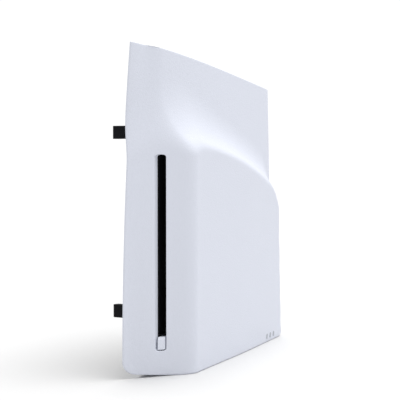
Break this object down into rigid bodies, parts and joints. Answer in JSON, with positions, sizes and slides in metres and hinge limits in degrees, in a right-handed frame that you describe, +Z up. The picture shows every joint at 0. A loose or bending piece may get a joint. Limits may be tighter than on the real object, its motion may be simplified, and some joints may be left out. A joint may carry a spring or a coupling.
{
  "type": "console disc drive module",
  "caption": "Slim upright add-on disc drive: white moulded outer cover with a sculpted hump and vertical disc slot, eject button, rear hooks and a slot-loading mechanism inside.",
  "frame": {"origin": "centre of the footprint of the whole part, on the desk under the cover", "axes": "+Z up along the height; +X out of the cover's flat outer face, so the hooks are on -X; -Y is the front edge with the slot and +Y the rear"},
  "size_m": [0.0584, 0.217, 0.2309],
  "materials": {
    "cover_white": "fine matte moulded texture",
    "mark_grey": "satin",
    "button_white": "satin",
    "black_plastic": "matte",
    "dark_plastic": "matte",
    "board_green": "solder mask",
    "gold": "plated",
    "ribbon": "film",
    "dark_steel": "blackened",
    "steel": "ground",
    "case_steel": "zinc-coated sheet",
    "chip_black": "moulded",
    "ivory_plastic": "satin",
    "gear_plastic": "natural acetal",
    "rubber": "matte",
    "motor_can": "plated can",
    "brass": "machined",
    "lens": "coated"
  },
  "bodies": {
    "chassis": {"cover_shell": "cover_white", "cover_posts": "cover_white", "cover_marks": "mark_grey", "slot_bezel": "black_plastic", "eject_board": "board_green", "eject_switch": "dark_plastic", "carrier_plate": "black_plastic", "hook_upper": "black_plastic", "hook_lower": "black_plastic", "locating_pins": "black_plastic", "plug_housing": "black_plastic", "plug_contacts": "gold", "plug_ribbon": "ribbon", "mount_screws": "dark_steel", "case_frame": "case_steel", "case_lid": "case_steel", "case_screws": "dark_steel", "main_board": "board_green", "board_chips": "chip_black", "board_sockets": "ivory_plastic", "hinge_brackets": "case_steel", "gear_bracket": "dark_plastic", "gear_axles": "steel", "roller_bracket": "dark_plastic", "disc_guide": "black_plastic", "load_motor": "motor_can", "arm_posts": "steel"},
    "eject_button": {"eject_button": "button_white"},
    "release_latch": {"release_latch": "black_plastic", "latch_spring": "steel"},
    "roller": {"roller_shaft": "steel", "roller_rubber": "rubber", "roller_gear": "gear_plastic"},
    "gear_second": {"gear_second": "gear_plastic"},
    "gear_first": {"gear_first": "gear_plastic"},
    "motor_rotor": {"motor_pinion": "brass"},
    "cam_slider": {"cam_slider": "gear_plastic"},
    "spindle_frame": {"spindle_frame": "dark_plastic", "guide_rods": "steel", "spindle_base": "motor_can", "sled_motor": "motor_can"},
    "turntable": {"turntable": "black_plastic", "turntable_pad": "rubber"},
    "pickup": {"pickup_body": "dark_plastic", "pickup_lens": "lens"},
    "lead_screw": {"lead_screw": "steel"},
    "clamp_arm": {"clamp_arm": "case_steel"},
    "clamp_puck": {"clamp_puck": "black_plastic"},
    "guide_arm_upper": {"guide_arm_upper": "gear_plastic"},
    "guide_arm_lower": {"guide_arm_lower": "gear_plastic"}
  },
  "joints": [
    {"name": "eject_press", "type": "slide", "parent": "chassis", "child": "eject_button", "axis": [0, 1, 0], "range_m": [0, 0.0006], "stiffness_N_per_m": 600},
    {"name": "latch_slide", "type": "slide", "parent": "chassis", "child": "release_latch", "axis": [0, 0, 1], "range_m": [0, 0.003], "stiffness_N_per_m": 300, "deforming": ["latch_spring"]},
    {"name": "roller_spin", "type": "hinge", "parent": "chassis", "child": "roller", "pos_m": [0.00275, -0.0655, 0.092], "axis": [0, 0, 1], "continuous": true},
    {"name": "second_gear_spin", "type": "hinge", "parent": "chassis", "child": "gear_second", "pos_m": [0.00235, -0.05951, 0.027], "axis": [0, 0, 1], "continuous": true},
    {"name": "first_gear_spin", "type": "hinge", "parent": "chassis", "child": "gear_first", "pos_m": [0.0021, -0.05272, 0.024], "axis": [0, 0, 1], "continuous": true},
    {"name": "motor_spin", "type": "hinge", "parent": "chassis", "child": "motor_rotor", "pos_m": [0.0021, -0.04592, 0.024], "axis": [0, 0, 1], "continuous": true},
    {"name": "cam_slide", "type": "slide", "parent": "chassis", "child": "cam_slider", "axis": [0, 1, 0], "range_m": [0, 0.01]},
    {"name": "spindle_frame_tilt", "type": "hinge", "parent": "chassis", "child": "spindle_frame", "pos_m": [0.002, 0.076, 0.092], "axis": [0, 0, 1], "range_deg": [0, 2.5]},
    {"name": "clamp_arm_swing", "type": "hinge", "parent": "chassis", "child": "clamp_arm", "pos_m": [0.0124, 0.076, 0.092], "axis": [0, 0, 1], "range_deg": [-1.9, 0]},
    {"name": "turntable_spin", "type": "hinge", "parent": "spindle_frame", "child": "turntable", "pos_m": [0.00168, -0.00006, 0.092], "axis": [0.999, -0.0436, 0], "continuous": true},
    {"name": "pickup_slide", "type": "slide", "parent": "spindle_frame", "child": "pickup", "axis": [0.0436, 0.999, 0], "range_m": [0, 0.034]},
    {"name": "lead_screw_spin", "type": "hinge", "parent": "spindle_frame", "child": "lead_screw", "pos_m": [0.00119, 0.02999, 0.1166], "axis": [0.0436, 0.999, 0], "range_deg": [0, 4080]},
    {"name": "clamp_spin", "type": "hinge", "parent": "clamp_arm", "child": "clamp_puck", "pos_m": [0.01152, -0.00007, 0.092], "axis": [0.9995, 0.0332, 0], "continuous": true},
    {"name": "upper_arm_swing", "type": "hinge", "parent": "chassis", "child": "guide_arm_upper", "pos_m": [0.004, 0.01, 0.1502], "axis": [-1, 0, 0], "range_deg": [0, 14.5], "stiffness_Nm_per_rad": 0.01},
    {"name": "lower_arm_swing", "type": "hinge", "parent": "chassis", "child": "guide_arm_lower", "pos_m": [0.004, 0.01, 0.0338], "axis": [1, 0, 0], "range_deg": [0, 14.5], "stiffness_Nm_per_rad": 0.01}
  ],
  "couplings": [
    {"joint": "second_gear_spin", "follows": "roller_spin", "ratio": -2},
    {"joint": "first_gear_spin", "follows": "roller_spin", "ratio": 4.8},
    {"joint": "motor_spin", "follows": "roller_spin", "ratio": -11.52},
    {"joint": "spindle_frame_tilt", "follows": "cam_slide", "rad_per_m": 4.3633},
    {"joint": "clamp_arm_swing", "follows": "cam_slide", "rad_per_m": -3.3161},
    {"joint": "lead_screw_spin", "follows": "pickup_slide", "rad_per_m": 2094.4}
  ]
}
